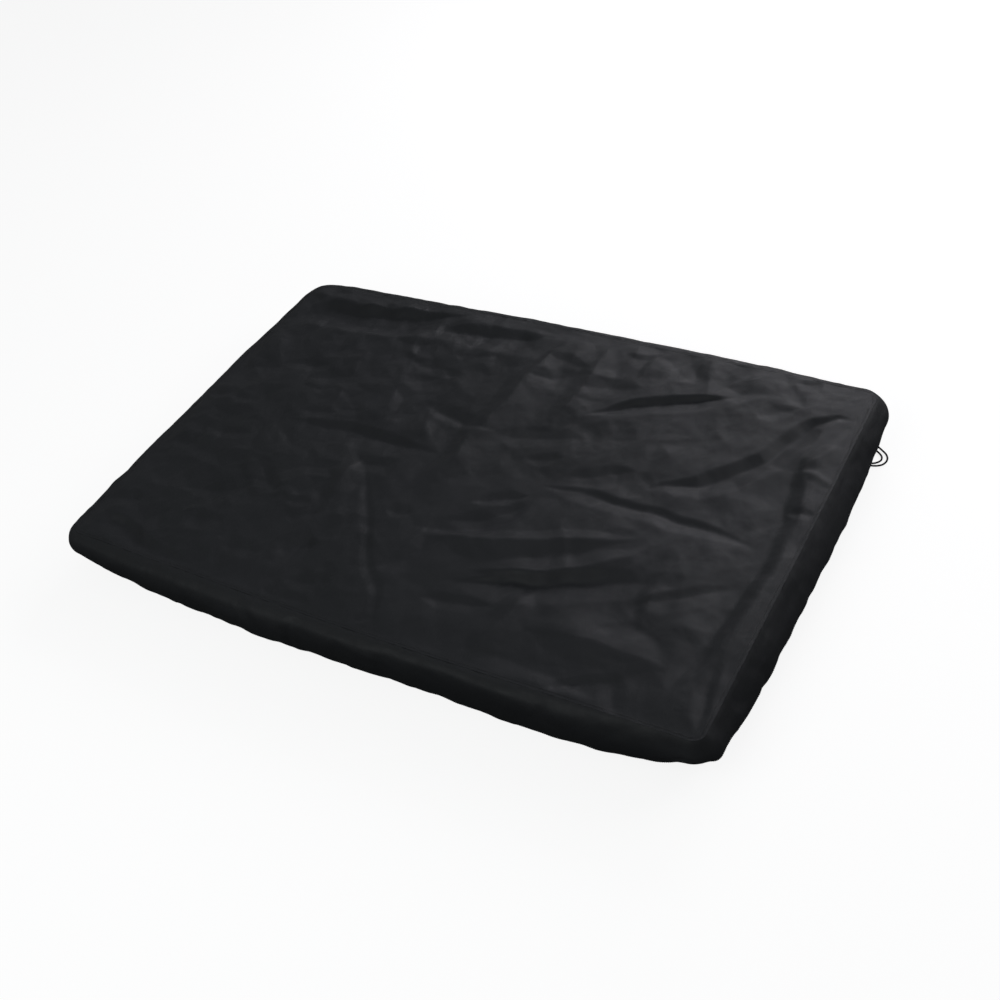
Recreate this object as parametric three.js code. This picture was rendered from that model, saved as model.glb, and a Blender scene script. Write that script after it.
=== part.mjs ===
// Fitted rain cover for a two-seat outdoor sofa: a low box of black woven polyester with a
// gathered hem, lying on the top of the sofa.
// Millimetres, +Z up, +X along the length, +Y towards the back. The origin is under the middle
// of the top panel, on the plane that the cover rests on.

import * as THREE from 'three';

// Driving sizes
const SHEET = 2.0; // thickness of the coated cloth
const HEM_SHEET = 3.0; // thickness of the turned and stitched hem
const SEAM_GAP = 0.3; // space between two pieces that are sewn together
const CORNER_PULL = 150; // length beside a corner over which its elastic draws the hem askew
const FLAT_HEIGHT = 9; // middle of the top cloth above the rest plane, where it is flat
const LOWEST = 1.4; // middle of the top cloth where a trough lies on the rest plane
const CROWN = 5; // extra height along the packing fold across the middle
const CREASE_ROUND = 12; // rounding of the cloth along a crest or trough
const SEAM_CALM = 45; // distance from the seam within which the folds die down
const SEAM_SHARE = 0.3; // share of a fold's height that is left at the seam
const CELLS_LONG = 54; // cells of the cloth along the length
const CELLS_DEEP = 34; // cells of the cloth from front to back
const CORD = 4; // diameter of the drawcord
const CORD_STEP = 10; // length of one straight piece of the drawcord
const CORD_SIDES = 8;

// Corners of the seam between top and sides: where the straight seams would meet, and the
// radius that rounds them
const CORNERS = {
  front_left: { x: -752, y: -481, round: 26 },
  front_right: { x: 752, y: -476, round: 24 },
  back_right: { x: 750, y: 462, round: 34 },
  back_left: { x: -750, y: 485, round: 66 },
};

// Side pieces, anticlockwise from above. Sizes are given at equal steps from start to end:
// overhang is how far the cloth reaches out past the seam, drop is the depth of the hem below
// the rest plane, tuck is how far the elastic draws the hem in, and flare is 0 where the cloth
// rolls over flat before it falls and 1 where it falls straight from the seam. bow is how far
// the seam itself bends outwards in the middle.
const SIDES = [
  {
    node: 'skirt_front',
    from: 'front_left',
    to: 'front_right',
    cells: CELLS_LONG,
    bow: 12,
    overhang: [26, 36, 38, 32, 28, 31, 18],
    drop: [90, 99, 104, 103, 102, 101, 82],
    tuck: [30, 22, 22, 22, 18, 12, 38],
    flare: [0.2, 0, 0, 0, 0, 0.2, 0.8],
    waves: 15,
  },
  {
    node: 'skirt_right',
    from: 'front_right',
    to: 'back_right',
    cells: CELLS_DEEP,
    bow: 2,
    overhang: [18, 26, 28, 30, 30, 29, 33],
    drop: [82, 97, 100, 101, 100, 96, 86],
    tuck: [38, 14, 14, 15, 15, 18, 30],
    flare: [0.8, 1, 1, 1, 1, 1, 0.5],
    waves: 9,
  },
  {
    node: 'skirt_back',
    from: 'back_right',
    to: 'back_left',
    cells: CELLS_LONG,
    bow: 4,
    overhang: [35, 29, 26, 26, 28, 28, 22],
    drop: [86, 98, 101, 102, 102, 99, 88],
    tuck: [30, 20, 20, 20, 20, 20, 30],
    flare: [0.5, 0.2, 0, 0, 0, 0, 0],
    waves: 14,
  },
  {
    node: 'skirt_left',
    from: 'back_left',
    to: 'front_left',
    cells: CELLS_DEEP,
    bow: 4,
    overhang: [22, 27, 29, 29, 29, 27, 26],
    drop: [88, 97, 100, 101, 100, 98, 90],
    tuck: [30, 20, 18, 18, 18, 20, 30],
    flare: [0, 0, 0, 0, 0, 0, 0.2],
    waves: 8,
  },
];

// Section of a side piece from the seam to the hem, as shares of overhang, drop, tuck and of
// the hem's waves. flared_out and flared_down hold where the flare is 1.
const SECTION = [
  { out: 0.0, down: 0.0, flared_out: 0.0, flared_down: 0.0, tuck: 0.0, wave: 0.0, sheet: SHEET },
  { out: 0.4, down: 0.02, flared_out: 0.22, flared_down: 0.08, tuck: 0.0, wave: 0.1, sheet: SHEET },
  { out: 0.78, down: 0.1, flared_out: 0.52, flared_down: 0.22, tuck: 0.0, wave: 0.25, sheet: SHEET },
  { out: 1.0, down: 0.3, flared_out: 0.82, flared_down: 0.4, tuck: 0.0, wave: 0.45, sheet: SHEET },
  { out: 1.0, down: 0.54, flared_out: 1.0, flared_down: 0.6, tuck: 0.08, wave: 0.6, sheet: SHEET },
  { out: 0.93, down: 0.77, flared_out: 1.0, flared_down: 0.79, tuck: 0.3, wave: 0.8, sheet: SHEET },
  { out: 0.82, down: 0.91, flared_out: 0.94, flared_down: 0.91, tuck: 0.64, wave: 1.0, sheet: HEM_SHEET },
  { out: 0.68, down: 1.0, flared_out: 0.82, flared_down: 1.0, tuck: 1.0, wave: 1.0, sheet: HEM_SHEET },
];
const WAVE_HEIGHT = 3.5; // in and out swing of the gathered hem
const FOLD_END = 0.16; // share of a fold's line over which it dies out at each end

// Main folds of the top panel. Each has a crest or trough line, its height (below zero for a
// trough) and how far its flanks reach to the left and right of the line's direction.
const FOLDS = [
  {
    name: 'packing fold across the middle',
    height: 9,
    left: 70,
    right: 34,
    line: [[58, 452], [40, 413], [18, 383], [13, 318], [4, 269], [5, 189], [-3, 130],
      [-15, 80], [-16, 30], [-13, -10], [-36, -49], [-56, -99], [-83, -161]],
  },
  {
    name: 'second fold beside it',
    height: 6,
    left: 55,
    right: 30,
    line: [[136, 445], [140, 388], [142, 288], [140, 219], [130, 159], [104, 130]],
  },
  {
    name: 'slanting trough at the back right',
    height: -11,
    left: 34,
    right: 44,
    line: [[203, 215], [269, 269], [336, 300], [436, 338], [485, 364]],
  },
  {
    name: 'curved trough from the back right corner',
    height: -12,
    left: 58,
    right: 32,
    line: [[746, 364], [694, 356], [659, 324], [623, 257], [603, 194], [555, 131], [505, 86],
      [436, 62], [396, 30]],
  },
  {
    name: 'trough along the right edge',
    height: -11,
    left: 36,
    right: 95,
    line: [[694, 288], [666, 224], [664, 179], [674, 110], [689, 50], [690, -10], [694, -89],
      [688, -159], [678, -258], [666, -357], [658, -447]],
  },
  {
    name: 'raised rim along the right edge',
    height: 6,
    left: 32,
    right: 34,
    line: [[740, 388], [726, 298], [710, 219], [716, 120], [726, 40], [728, -59], [726, -159],
      [720, -268], [704, -357], [694, -457]],
  },
  {
    name: 'packing fold, right half',
    height: -6,
    left: 26,
    right: 42,
    line: [[187, -18], [307, -14], [426, -16], [525, -20], [605, -24], [672, -31]],
  },
  {
    name: 'packing fold, left half',
    height: -6,
    left: 32,
    right: 44,
    line: [[-508, -10], [-389, -4], [-319, 5], [-240, 2], [-141, -2], [-51, -6]],
  },
  {
    name: 'long crest right of the middle',
    height: 8,
    left: 34,
    right: 46,
    line: [[28, -226], [158, -204], [277, -169], [386, -122], [472, -91]],
  },
  {
    name: 'crest below it',
    height: 6,
    left: 36,
    right: 26,
    line: [[168, -283], [267, -254], [336, -236], [406, -188], [458, -144], [493, -93]],
  },
  {
    name: 'sharp bent trough',
    height: -10,
    left: 28,
    right: 56,
    line: [[128, -324], [227, -294], [307, -265], [366, -242], [436, -215], [500, -190],
      [519, -129], [527, -59]],
  },
  {
    name: 'crest near the front right corner',
    height: 7,
    left: 62,
    right: 46,
    line: [[346, -359], [456, -353], [565, -353], [649, -357]],
  },
  {
    name: 'short crest towards the front edge',
    height: 6,
    left: 42,
    right: 32,
    line: [[323, -270], [311, -333], [304, -382], [289, -437], [283, -477]],
  },
  {
    name: 'deep trough at the back left',
    height: -14,
    left: 36,
    right: 82,
    line: [[-739, 332], [-687, 364], [-637, 384], [-548, 390], [-468, 400], [-389, 416],
      [-329, 438], [-280, 449]],
  },
  {
    name: 'trough at the back middle',
    height: -9,
    left: 28,
    right: 58,
    line: [[-300, 380], [-240, 391], [-170, 401], [-91, 407], [-41, 420], [1, 455]],
  },
  {
    name: 'trough left of the middle',
    height: -5,
    left: 28,
    right: 44,
    line: [[-280, 181], [-225, 211], [-190, 234], [-145, 251]],
  },
  {
    name: 'bump at the left edge',
    height: 5,
    left: 58,
    right: 26,
    line: [[-722, 279], [-719, 189], [-729, 110]],
  },
  {
    name: 'trough inside the front left edge',
    height: -8,
    left: 36,
    right: 46,
    line: [[-743, -393], [-687, -415], [-627, -433], [-568, -449], [-518, -467], [-429, -469],
      [-359, -465]],
  },
  {
    name: 'hollow in the left half',
    height: -6,
    left: 46,
    right: 32,
    line: [[-554, -334], [-510, -310], [-483, -276], [-429, -253]],
  },
  {
    name: 'slanting hollow in the left half',
    height: -5,
    left: 28,
    right: 30,
    line: [[-493, -137], [-429, -174], [-389, -208], [-329, -230]],
  },
  {
    name: 'small crest left of the middle',
    height: 5,
    left: 42,
    right: 28,
    line: [[-226, -69], [-230, -139], [-216, -208], [-204, -253]],
  },
  {
    name: 'short trough near the front',
    height: -6,
    left: 26,
    right: 46,
    line: [[-260, -373], [-222, -357], [-195, -333], [-155, -318]],
  },
];

// Loops of the drawcord, from inside the hem out under its edge, level, and back
const CORDS = [
  {
    node: 'drawcord_outer',
    route: [[738, 428, -97], [748, 426, -101], [758, 421, -104], [770, 413, -105],
      [781, 404, -105], [788, 393, -105], [789, 381, -105], [784, 370, -105], [773, 363, -105],
      [760, 360, -104], [748, 362, -101], [738, 366, -97]],
  },
  {
    node: 'drawcord_inner',
    route: [[740, 412, -97], [749, 411, -101], [758, 408, -104], [768, 402, -105],
      [776, 393, -105], [778, 383, -105], [773, 374, -105], [763, 368, -105], [751, 368, -102],
      [741, 372, -97]],
  },
];

// Value at share t of a row of values that stand at equal steps, without corners
function across(values, t) {
  const place = Math.min(Math.max(t, 0), 1) * (values.length - 1);
  const step = Math.min(Math.floor(place), values.length - 2);
  const share = place - step;
  const before = values[Math.max(step - 1, 0)];
  const after = values[Math.min(step + 2, values.length - 1)];
  const slopeStart = (values[step + 1] - before) / 2;
  const slopeEnd = (after - values[step]) / 2;
  const square = share * share;
  const cube = square * share;
  return (2 * cube - 3 * square + 1) * values[step]
    + (cube - 2 * square + share) * slopeStart
    + (3 * square - 2 * cube) * values[step + 1]
    + (cube - square) * slopeEnd;
}

function cornerPoint(name) {
  return new THREE.Vector2(CORNERS[name].x, CORNERS[name].y);
}

function outwardOf(along) {
  return new THREE.Vector2(along.y, -along.x);
}

// Seam line of one side from the middle of one corner to the middle of the next: returns the
// point, the outward direction and the direction against the elastic's pull at share t of it
function seamLine(index) {
  const side = SIDES[index];
  const previous = SIDES[(index + SIDES.length - 1) % SIDES.length];
  const next = SIDES[(index + 1) % SIDES.length];
  const start = cornerPoint(side.from);
  const end = cornerPoint(side.to);
  const along = end.clone().sub(start).normalize();
  const out = outwardOf(along);
  const alongBefore = start.clone().sub(cornerPoint(previous.from)).normalize();
  const alongAfter = cornerPoint(next.to).sub(end).normalize();
  const turnStart = Math.acos(alongBefore.dot(along)) / 2;
  const turnEnd = Math.acos(along.dot(alongAfter)) / 2;
  const roundStart = CORNERS[side.from].round;
  const roundEnd = CORNERS[side.to].round;
  const inStart = roundStart * Math.tan(turnStart);
  const inEnd = roundEnd * Math.tan(turnEnd);
  const arcStart = roundStart * turnStart;
  const arcEnd = roundEnd * turnEnd;
  const straight = end.distanceTo(start) - inStart - inEnd;
  const length = arcStart + straight + arcEnd;

  const turned = (turn) => out.clone().multiplyScalar(Math.cos(turn))
    .addScaledVector(along, Math.sin(turn));

  return (t) => {
    const way = t * length;
    let turn = 0;
    let round = 0;
    let foot = start.clone().addScaledVector(along, inStart + way - arcStart);
    if (way < arcStart) {
      turn = way / roundStart - turnStart;
      round = roundStart;
      foot = start.clone().addScaledVector(along, inStart);
    } else if (way > arcStart + straight) {
      turn = (way - arcStart - straight) / roundEnd;
      round = roundEnd;
      foot = end.clone().addScaledVector(along, -inEnd);
    }
    const outward = turned(turn);
    const bow = side.bow * Math.sin(Math.PI * t) ** 2;
    const point = foot.addScaledVector(out, bow - round).addScaledVector(outward, round);
    const askewStart = turnStart * (1 - smooth(way / CORNER_PULL));
    const askewEnd = turnEnd * (1 - smooth((length - way) / CORNER_PULL));
    return { point, outward, pull: turned(askewEnd - askewStart) };
  };
}

const SEAMS = SIDES.map((side, index) => seamLine(index));

// Distance from a point to a fold's line, with the side of it that the point lies on and the
// share of the line's length at the nearest place
function placeOnLine(line, x, y) {
  let nearest = { distance: Infinity, left: true, way: 0 };
  let way = 0;
  for (let index = 0; index + 1 < line.length; index += 1) {
    const [x0, y0] = line[index];
    const [x1, y1] = line[index + 1];
    const length = Math.hypot(x1 - x0, y1 - y0);
    const ax = (x1 - x0) / length;
    const ay = (y1 - y0) / length;
    const along = Math.min(Math.max((x - x0) * ax + (y - y0) * ay, 0), length);
    const dx = x - x0 - along * ax;
    const dy = y - y0 - along * ay;
    const distance = Math.hypot(dx, dy);
    if (distance < nearest.distance) {
      nearest = { distance, left: ax * dy - ay * dx > 0, way: way + along };
    }
    way += length;
  }
  return { ...nearest, share: nearest.way / way };
}

function smooth(share) {
  const clipped = Math.min(Math.max(share, 0), 1);
  return clipped * clipped * (3 - 2 * clipped);
}

// Height that one fold adds: a crest with two nearly straight flanks, dying out at its ends
function foldHeight(fold, x, y) {
  const place = placeOnLine(fold.line, x, y);
  const reach = place.left ? fold.left : fold.right;
  const rounded = Math.hypot(place.distance, CREASE_ROUND) - CREASE_ROUND;
  const near = Math.max(1 - rounded / reach, 0);
  const flank = 0.6 * near + 0.4 * smooth(near);
  const ends = smooth(place.share / FOLD_END) * smooth((1 - place.share) / FOLD_END);
  return fold.height * flank * ends;
}

// Distance from a point of the top panel to its nearest straight seam
function seamDistance(x, y) {
  const distances = SIDES.map((side) => {
    const start = cornerPoint(side.from);
    const end = cornerPoint(side.to);
    const out = outwardOf(end.clone().sub(start).normalize());
    return (start.x - x) * out.x + (start.y - y) * out.y;
  });
  return Math.max(Math.min(...distances), 0);
}

// Middle of the top cloth above the rest plane
function topHeight(x, y) {
  const folds = FOLDS.reduce((sum, fold) => sum + foldHeight(fold, x, y), 0);
  const share = SEAM_SHARE + (1 - SEAM_SHARE) * smooth(seamDistance(x, y) / SEAM_CALM);
  const crown = CROWN * (1 - Math.abs(x) / Math.abs(CORNERS.front_left.x));
  return Math.max(FLAT_HEIGHT + crown + folds * share, LOWEST);
}

// Closed body of a sheet from two matching grids of points, its outer and its inner face.
// Seen from outside, rows run upwards and columns to the right. rises tells which diagonal
// splits a cell.
function sheetGeometry(outer, inner, rises) {
  const rows = outer.length;
  const columns = outer[0].length;
  const points = [...outer.flat(), ...inner.flat()];
  const innerStart = rows * columns;
  const indices = [];
  const at = (row, column) => row * columns + column;

  for (let row = 0; row + 1 < rows; row += 1) {
    for (let column = 0; column + 1 < columns; column += 1) {
      const a = at(row, column);
      const b = at(row, column + 1);
      const c = at(row + 1, column + 1);
      const d = at(row + 1, column);
      const halves = rises(row, column) ? [[a, b, c], [a, c, d]] : [[a, b, d], [b, c, d]];
      for (const [p, q, r] of halves) {
        indices.push(p, q, r, innerStart + p, innerStart + r, innerStart + q);
      }
    }
  }

  const rim = [];
  for (let column = 0; column + 1 < columns; column += 1) {
    rim.push([at(0, column), at(0, column + 1)]);
    rim.push([at(rows - 1, column + 1), at(rows - 1, column)]);
  }
  for (let row = 0; row + 1 < rows; row += 1) {
    rim.push([at(row, columns - 1), at(row + 1, columns - 1)]);
    rim.push([at(row + 1, 0), at(row, 0)]);
  }
  for (const [p, q] of rim) {
    indices.push(p, innerStart + p, q, q, innerStart + p, innerStart + q);
  }

  const geometry = new THREE.BufferGeometry();
  geometry.setAttribute('position', new THREE.Float32BufferAttribute(
    points.flatMap((point) => point.toArray()), 3));
  geometry.setIndex(indices);
  geometry.computeVertexNormals();
  return geometry;
}

// Plan place of the top panel's grid point: the four seam lines blended over the panel
function panelPlace(u, v) {
  const front = SEAMS[0](u).point;
  const right = SEAMS[1](v).point;
  const back = SEAMS[2](1 - u).point;
  const left = SEAMS[3](1 - v).point;
  const frontLeft = SEAMS[0](0).point;
  const frontRight = SEAMS[0](1).point;
  const backRight = SEAMS[2](0).point;
  const backLeft = SEAMS[2](1).point;
  return new THREE.Vector2()
    .addScaledVector(front, 1 - v)
    .addScaledVector(back, v)
    .addScaledVector(left, 1 - u)
    .addScaledVector(right, u)
    .addScaledVector(frontLeft, -(1 - u) * (1 - v))
    .addScaledVector(frontRight, -u * (1 - v))
    .addScaledVector(backRight, -u * v)
    .addScaledVector(backLeft, -(1 - u) * v);
}

// Outward direction of the seam at a rim point of the grid, or null inside the panel
function rimOutward(column, row) {
  const u = column / CELLS_LONG;
  const v = row / CELLS_DEEP;
  if (row === 0) return SEAMS[0](u).outward;
  if (column === CELLS_LONG) return SEAMS[1](v).outward;
  if (row === CELLS_DEEP) return SEAMS[2](1 - u).outward;
  if (column === 0) return SEAMS[3](1 - v).outward;
  return null;
}

function topPanelGeometry() {
  const places = [];
  const outer = [];
  const inner = [];
  for (let row = 0; row <= CELLS_DEEP; row += 1) {
    places.push([]);
    outer.push([]);
    inner.push([]);
    for (let column = 0; column <= CELLS_LONG; column += 1) {
      const place = panelPlace(column / CELLS_LONG, row / CELLS_DEEP);
      const height = topHeight(place.x, place.y);
      const outward = rimOutward(column, row);
      const normal = new THREE.Vector3(0, 0, 1);
      if (outward) {
        place.addScaledVector(outward, -SEAM_GAP / 2);
      } else {
        normal.x = topHeight(place.x - 1, place.y) - topHeight(place.x + 1, place.y);
        normal.y = topHeight(place.x, place.y - 1) - topHeight(place.x, place.y + 1);
        normal.z = 2;
        normal.normalize();
      }
      const middle = new THREE.Vector3(place.x, place.y, height);
      places[row].push(middle);
      outer[row].push(middle.clone().addScaledVector(normal, SHEET / 2));
      inner[row].push(middle.clone().addScaledVector(normal, -SHEET / 2));
    }
  }

  // A corner cell is split from the corner inwards, any other along the diagonal that lies
  // closer to the cloth
  const rises = (row, column) => {
    const atLeft = column === 0;
    const atRight = column === CELLS_LONG - 1;
    const atFront = row === 0;
    const atBack = row === CELLS_DEEP - 1;
    if ((atLeft && atFront) || (atRight && atBack)) return true;
    if ((atRight && atFront) || (atLeft && atBack)) return false;
    const a = places[row][column];
    const b = places[row][column + 1];
    const c = places[row + 1][column + 1];
    const d = places[row + 1][column];
    const wanted = topHeight((a.x + c.x) / 2, (a.y + c.y) / 2);
    return Math.abs((a.z + c.z) / 2 - wanted) <= Math.abs((b.z + d.z) / 2 - wanted);
  };
  return sheetGeometry(outer, inner, rises);
}

// Swing of a side piece's gathers, still at both of its ends
function gather(side, t) {
  const slow = Math.sin(2 * Math.PI * side.waves * t);
  const uneven = Math.sin(2 * Math.PI * (0.37 * side.waves * t + 0.21));
  return WAVE_HEIGHT * Math.sin(Math.PI * t) ** 0.5 * (0.7 * slow + 0.5 * uneven);
}

// Place of a side piece's middle at one row of its section: how far it reaches out, how far it
// is drawn in and its height
function sectionPlace(side, t, row, seamHeight) {
  const section = SECTION[row];
  const flare = across(side.flare, t);
  const out = THREE.MathUtils.lerp(section.out, section.flared_out, flare);
  const down = THREE.MathUtils.lerp(section.down, section.flared_down, flare);
  return {
    reach: out * across(side.overhang, t) + section.wave * gather(side, t),
    drawn: section.tuck * across(side.tuck, t),
    height: seamHeight * (1 - down) ** 2 - down * across(side.drop, t),
  };
}

// Direction across the cloth at a row of the section, as outward and upward shares
function sectionNormal(places, row) {
  if (row === 0) return new THREE.Vector2(0, 1);
  const before = places[row - 1];
  const after = places[Math.min(row + 1, places.length - 1)];
  const run = after.reach - after.drawn - before.reach + before.drawn;
  const rise = after.height - before.height;
  return new THREE.Vector2(-rise, run).normalize();
}

function skirtGeometry(index) {
  const side = SIDES[index];
  const outer = SECTION.map(() => []);
  const inner = SECTION.map(() => []);
  for (let column = 0; column <= side.cells; column += 1) {
    const t = column / side.cells;
    const { point, outward, pull } = SEAMS[index](t);
    const along = new THREE.Vector2(-outward.y, outward.x);
    const seamHeight = topHeight(point.x, point.y);
    const places = SECTION.map((section, row) => sectionPlace(side, t, row, seamHeight));
    let shift = 0;
    if (column === 0) shift = SEAM_GAP / 2;
    if (column === side.cells) shift = -SEAM_GAP / 2;
    places.forEach((place, row) => {
      const normal = sectionNormal(places, row);
      const half = SECTION[row].sheet / 2;
      const trim = row === 0 ? SEAM_GAP / 2 : 0;
      const facing = outward.clone().lerp(pull, SECTION[row].tuck).normalize();
      const position = (sign) => {
        const foot = point.clone()
          .addScaledVector(outward, place.reach + trim)
          .addScaledVector(pull, -place.drawn)
          .addScaledVector(facing, sign * half * normal.x)
          .addScaledVector(along, shift);
        return new THREE.Vector3(foot.x, foot.y, place.height + sign * half * normal.y);
      };
      outer[SECTION.length - 1 - row].push(position(1));
      inner[SECTION.length - 1 - row].push(position(-1));
    });
  }
  return sheetGeometry(outer, inner, (row, column) => (row + column) % 2 === 0);
}

function cordGeometry(cord) {
  const points = cord.route.map(([x, y, z]) => new THREE.Vector3(x, y, z));
  const path = new THREE.CatmullRomCurve3(points, false, 'centripetal');
  const section = new THREE.Shape();
  for (let side = 0; side < CORD_SIDES; side += 1) {
    const turn = (2 * Math.PI * side) / CORD_SIDES;
    const x = (CORD / 2) * Math.cos(turn);
    const y = (CORD / 2) * Math.sin(turn);
    if (side === 0) section.moveTo(x, y);
    else section.lineTo(x, y);
  }
  section.closePath();
  const steps = Math.round(path.getLength() / CORD_STEP);
  return new THREE.ExtrudeGeometry(section, { steps, extrudePath: path, bevelEnabled: false });
}

function coatedCloth() {
  return new THREE.MeshStandardMaterial({ color: 0x232427, roughness: 0.55, metalness: 0 });
}

function braidedCord() {
  return new THREE.MeshStandardMaterial({ color: 0x141416, roughness: 0.75, metalness: 0 });
}

function piece(name, geometry, material) {
  const mesh = new THREE.Mesh(geometry, material);
  mesh.name = name;
  return mesh;
}

const cover = new THREE.Group();
cover.add(piece('top_panel', topPanelGeometry(), coatedCloth()));
SIDES.forEach((side, index) => cover.add(piece(side.node, skirtGeometry(index), coatedCloth())));
CORDS.forEach((cord) => cover.add(piece(cord.node, cordGeometry(cord), braidedCord())));

export default cover;
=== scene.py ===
# Fitted rain cover for a two-seat outdoor sofa: a low box of black coated polyester with a
# creased top, four shallow side pieces drawn in by a gathered hem, and two drawcord loops.
# The scene is in metres. The tables of the cover's own sizes are in millimetres.
import math

import bpy
import numpy as np
from mathutils import Matrix, Vector


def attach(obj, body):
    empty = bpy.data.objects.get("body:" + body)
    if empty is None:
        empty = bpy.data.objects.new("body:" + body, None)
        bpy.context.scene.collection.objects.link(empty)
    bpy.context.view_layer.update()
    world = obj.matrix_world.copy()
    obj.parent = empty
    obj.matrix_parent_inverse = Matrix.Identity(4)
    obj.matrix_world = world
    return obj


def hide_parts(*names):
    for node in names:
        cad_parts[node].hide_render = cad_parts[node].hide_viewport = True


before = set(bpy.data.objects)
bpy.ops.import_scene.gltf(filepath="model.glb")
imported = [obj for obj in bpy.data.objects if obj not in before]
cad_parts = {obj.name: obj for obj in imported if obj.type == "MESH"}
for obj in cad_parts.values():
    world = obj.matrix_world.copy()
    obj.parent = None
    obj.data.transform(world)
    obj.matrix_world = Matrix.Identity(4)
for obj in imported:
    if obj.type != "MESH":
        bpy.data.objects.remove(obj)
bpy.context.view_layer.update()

MM = 0.001

# Camera, as it stood for the photograph
SENSOR = 36
LENS = 44.51
HEADING = math.radians(40.115)
DIP = math.radians(42.617)
ROLL = math.radians(-14.897)
AIM = Vector((0.1298, -0.0730, 0.0))
AWAY = 2.558

# Drawcord
CORD = 4.0  # diameter
CORD_SIDES = 20
CORD_STEP = 0.5  # length of one ring of its mesh
CORD_FINE = 40  # points of its line for each step of its route
BRAID_DEPTH = 0.28
BRAID_PITCH = 9.0  # length in which a strand goes once round
BRAID_STRANDS = 4

# Loops of the drawcord, from inside the hem out under its edge, level, and back
CORDS = [
    {
        "name": "drawcord_outer",
        "route": [(738, 428, -97), (748, 426, -101), (758, 421, -104), (770, 413, -105),
                  (781, 404, -105), (788, 393, -105), (789, 381, -105), (784, 370, -105),
                  (773, 363, -105), (760, 360, -104), (748, 362, -101), (738, 366, -97)],
    },
    {
        "name": "drawcord_inner",
        "route": [(740, 412, -97), (749, 411, -101), (758, 408, -104), (768, 402, -105),
                  (776, 393, -105), (778, 383, -105), (773, 374, -105), (763, 368, -105),
                  (751, 368, -102), (741, 372, -97)],
    },
]

# Corners of the seam of the top, anticlockwise from the front left: x and y where its straight
# parts would meet, and the radius that rounds them
CORNERS = [(-752, -481, 26), (752, -476, 24), (750, 462, 34), (-750, 485, 66)]

# Side pieces from each corner to the next, with sizes at equal steps of their way: overhang
# past the seam, drop of the hem below the rest plane, tuck by the elastic, and flare, which is
# 0 where the cloth rolls over flat before it falls and 1 where it falls straight from the seam.
# bow is how far the seam bends outwards in the middle, waves counts the gathers and cells the
# columns of the mesh.
SIDES = [
    {
        "node": "skirt_front", "bow": 12,
        "overhang": [27, 36, 38, 32, 28, 31, 20],
        "drop": [70, 99, 104, 103, 102, 101, 64],
        "tuck": [16, 22, 22, 22, 18, 12, 10],
        "flare": [0.2, 0, 0, 0, 0, 0.2, 1],
        "waves": 15, "cells": 560,
    },
    {
        "node": "skirt_right", "bow": 2,
        "overhang": [20, 26, 28, 30, 30, 29, 27],
        "drop": [64, 97, 100, 101, 100, 96, 72],
        "tuck": [10, 14, 14, 15, 15, 18, 46],
        "flare": [1, 1, 1, 1, 1, 1, 0.8],
        "waves": 9, "cells": 360,
    },
    {
        "node": "skirt_back", "bow": 4,
        "overhang": [27, 29, 26, 26, 28, 28, 22],
        "drop": [72, 98, 101, 102, 102, 99, 88],
        "tuck": [46, 20, 20, 20, 20, 20, 30],
        "flare": [0.8, 0.2, 0, 0, 0, 0, 0],
        "waves": 14, "cells": 560,
    },
    {
        "node": "skirt_left", "bow": 4,
        "overhang": [22, 27, 29, 29, 29, 27, 27],
        "drop": [88, 97, 100, 101, 100, 98, 70],
        "tuck": [30, 20, 18, 18, 18, 20, 16],
        "flare": [0, 0, 0, 0, 0, 0, 0.2],
        "waves": 8, "cells": 360,
    },
]

# Section of a side piece from the seam to the hem, as shares of overhang, drop, tuck and waves
SECTION = {
    "out": [0.0, 0.4, 0.78, 1.0, 1.0, 0.93, 0.82, 0.68],
    "down": [0.0, 0.02, 0.1, 0.3, 0.54, 0.77, 0.91, 1.0],
    "flared_out": [0.0, 0.22, 0.52, 0.82, 1.0, 1.0, 0.94, 0.82],
    "flared_down": [0.0, 0.08, 0.22, 0.4, 0.6, 0.79, 0.91, 1.0],
    "tuck": [0.0, 0.0, 0.0, 0.0, 0.08, 0.3, 0.64, 1.0],
    "wave": [0.0, 0.1, 0.25, 0.45, 0.6, 0.8, 1.0, 1.0],
}

# Dents where the elastic draws the hem up and in: side, place along it, width, depth
DENTS = [("skirt_front", 0, 46, 38), ("skirt_front", 1484, 38, 36), ("skirt_right", 0, 11, 34),
         ("skirt_right", 915, 40, 14), ("skirt_back", 0, 39, 13), ("skirt_left", 946, 24, 38)]
DENT_TUCK = 0.2  # share of a dent that goes inwards
DENT_POWER = 3  # power of the way down with which a dent lifts the cloth

SEAM_GAP = 0.3  # space between two pieces that are sewn together
SEAM_TURN = 7  # edge of the top panel, turned down inside the seam
CORNER_PULL = 150  # length beside a corner over which its elastic draws the hem askew
SEAM_HEIGHT = 9  # top cloth above the rest plane at its seam
FLAT_HEIGHT = 13  # and where it is flat, away from the seam
SEAM_RISE = 70  # distance from the seam over which it rises to that
LOWEST = 1.4  # top cloth where a trough lies on the rest plane
TROUGH_ROUND = 1.5  # softness with which a trough comes down to it
CROWN = 5  # extra height along the packing fold across the middle
SEAM_CALM = 45  # distance from the seam within which the folds die down
SEAM_SHARE = 0.3  # share of a fold's height that is left at the seam
FINE_SHARE = 0.6  # and of a fine crease's
CREASE_OUT = 4  # fine creases begin this far outside an edge
SEAM_FADE = 14  # and grow over this distance at the seam of the top
HEM_FADE = 30  # or at the hem of a side piece
SEAM_DIP = (0.25, 3.5)  # depth and width of the seam's groove in the top
SEAM_LINE = (0.15, 3)  # and into a side piece
WAVE_HEIGHT = 1.6  # in and out swing of the gathered hem
GATHERS = (0.7, 0.5)  # shares of its two waves
SECOND_GATHER = (0.37, 0.21)  # rate of the second by the first, and its start
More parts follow.
